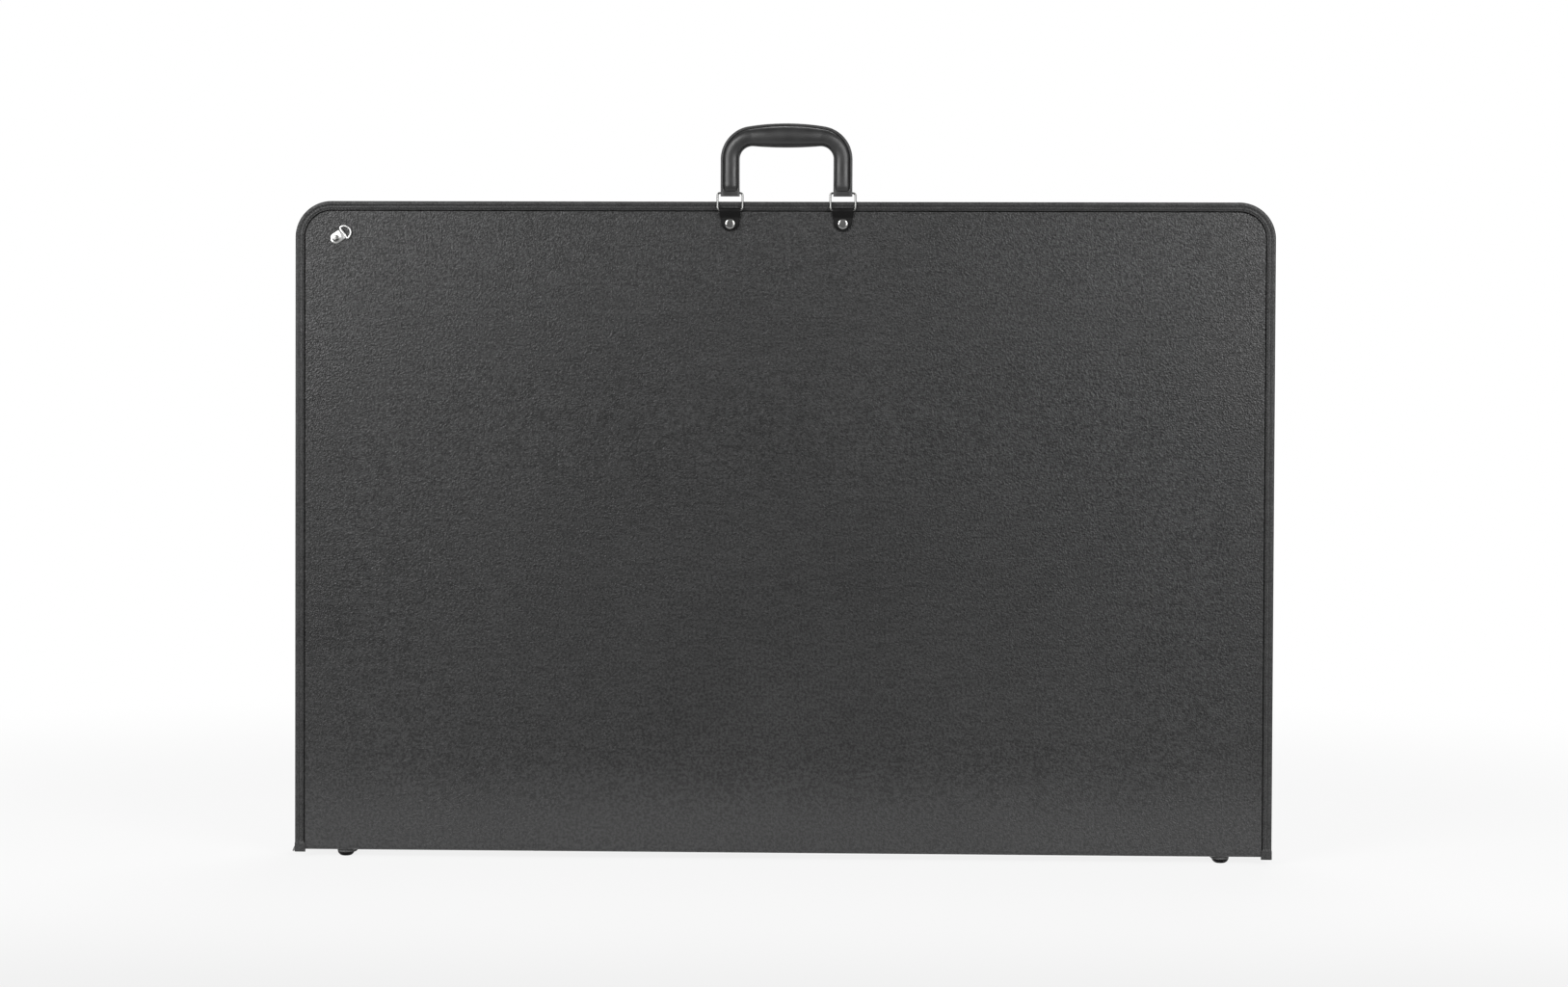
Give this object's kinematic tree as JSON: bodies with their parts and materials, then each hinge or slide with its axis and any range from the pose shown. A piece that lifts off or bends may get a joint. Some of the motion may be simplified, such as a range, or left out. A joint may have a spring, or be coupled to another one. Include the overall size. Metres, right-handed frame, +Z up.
{
  "type": "zip-up art portfolio case",
  "caption": "Flat zip-up case for artwork sheets: two stiff panels folded on a footed spine, with a ringed carrying handle and strap rings.",
  "frame": {"origin": "on the floor under the middle of the spine, where the feet stand", "axes": "+X along the spine to the right of someone facing the front, +Y from the front face to the back face, +Z up"},
  "size_m": [0.9472, 0.0668, 0.7073],
  "materials": {
    "cover": "charcoal leathercloth with a fine grain",
    "board": "raw greyboard",
    "lining": "plain woven cloth",
    "binding": "smooth, stitched",
    "tape": "woven",
    "teeth": "nylon coil, seen as one strip",
    "nickel": "nickel plated",
    "steel": "plain zinc plated",
    "feet": "smooth, black",
    "handle": "soft moulded vinyl, dull",
    "strap": "black, dense"
  },
  "bodies": {
    "spine": {"spine_board": "board", "spine_cover": "cover", "spine_lining": "lining", "feet": "feet", "foot_washers": "steel", "front_crease": "cover", "back_crease": "cover"},
    "front_panel": {"front_board": "board", "front_cover": "cover", "front_lining": "lining", "front_binding": "binding", "front_zip_tape": "tape", "front_zip_teeth": "teeth", "front_zip_stops": "steel", "left_strap": "strap", "right_strap": "strap", "strap_rivets": "nickel", "strap_rivet_backs": "steel", "front_clip_rivet": "nickel", "front_clip_back": "steel"},
    "back_panel": {"back_board": "board", "back_cover": "cover", "back_lining": "lining", "back_binding": "binding", "back_zip_tape": "tape", "back_zip_teeth": "teeth", "back_zip_stops": "steel", "back_clip_rivet": "nickel", "back_clip_back": "steel"},
    "slider": {"zip_slider": "nickel"},
    "pull": {"zip_pull": "nickel"},
    "left_ring": {"left_ring": "nickel"},
    "right_ring": {"right_ring": "nickel"},
    "handle": {"handle": "handle"},
    "front_clip": {"front_clip": "nickel"},
    "front_d_ring": {"front_d_ring": "nickel"},
    "back_clip": {"back_clip": "nickel"},
    "back_d_ring": {"back_d_ring": "nickel"}
  },
  "joints": [
    {"name": "front_fold", "type": "hinge", "parent": "spine", "child": "front_panel", "pos_m": [0, -0.02414, 0.00786], "axis": [1, 0, 0], "range_deg": [0, 89], "deforming": ["front_crease"]},
    {"name": "back_fold", "type": "hinge", "parent": "spine", "child": "back_panel", "pos_m": [0, 0.02414, 0.00786], "axis": [-1, 0, 0], "range_deg": [0, 90], "deforming": ["back_crease"]},
    {"name": "left_ring_swing", "type": "hinge", "parent": "front_panel", "child": "left_ring", "pos_m": [-0.05105, -0.028, 0.6247], "axis": [1, 0, 0], "range_deg": [-6, 90]},
    {"name": "right_ring_swing", "type": "hinge", "parent": "front_panel", "child": "right_ring", "pos_m": [0.05705, -0.028, 0.6247], "axis": [1, 0, 0], "range_deg": [-15, 105]},
    {"name": "handle_swing", "type": "hinge", "parent": "left_ring", "child": "handle", "pos_m": [-0.05105, -0.028, 0.641], "axis": [1, 0, 0], "range_deg": [-80, 90]},
    {"name": "zip_slide", "type": "slide", "parent": "back_panel", "child": "slider", "axis": [0, 0, 1], "range_m": [0, 0.56]},
    {"name": "pull_swing", "type": "hinge", "parent": "slider", "child": "pull", "pos_m": [-0.4641, 0, 0.0238], "axis": [0, 1, 0], "range_deg": [0, 146]},
    {"name": "front_clip_swivel", "type": "hinge", "parent": "front_panel", "child": "front_clip", "pos_m": [-0.4308, -0.025, 0.5971], "axis": [0, -1, 0], "continuous": true},
    {"name": "front_d_ring_swing", "type": "hinge", "parent": "front_clip", "child": "front_d_ring", "pos_m": [-0.42363, -0.02663, 0.60203], "axis": [0.5664, 0, -0.8241], "range_deg": [0, 150]},
    {"name": "back_clip_swivel", "type": "hinge", "parent": "back_panel", "child": "back_clip", "pos_m": [0.4308, 0.025, 0.5971], "axis": [0, 1, 0], "continuous": true},
    {"name": "back_d_ring_swing", "type": "hinge", "parent": "back_clip", "child": "back_d_ring", "pos_m": [0.42363, 0.02663, 0.60203], "axis": [-0.5664, 0, -0.8241], "range_deg": [0, 150]}
  ],
  "couplings": [
    {"joint": "right_ring_swing", "follows": "left_ring_swing", "ratio": 1}
  ]
}
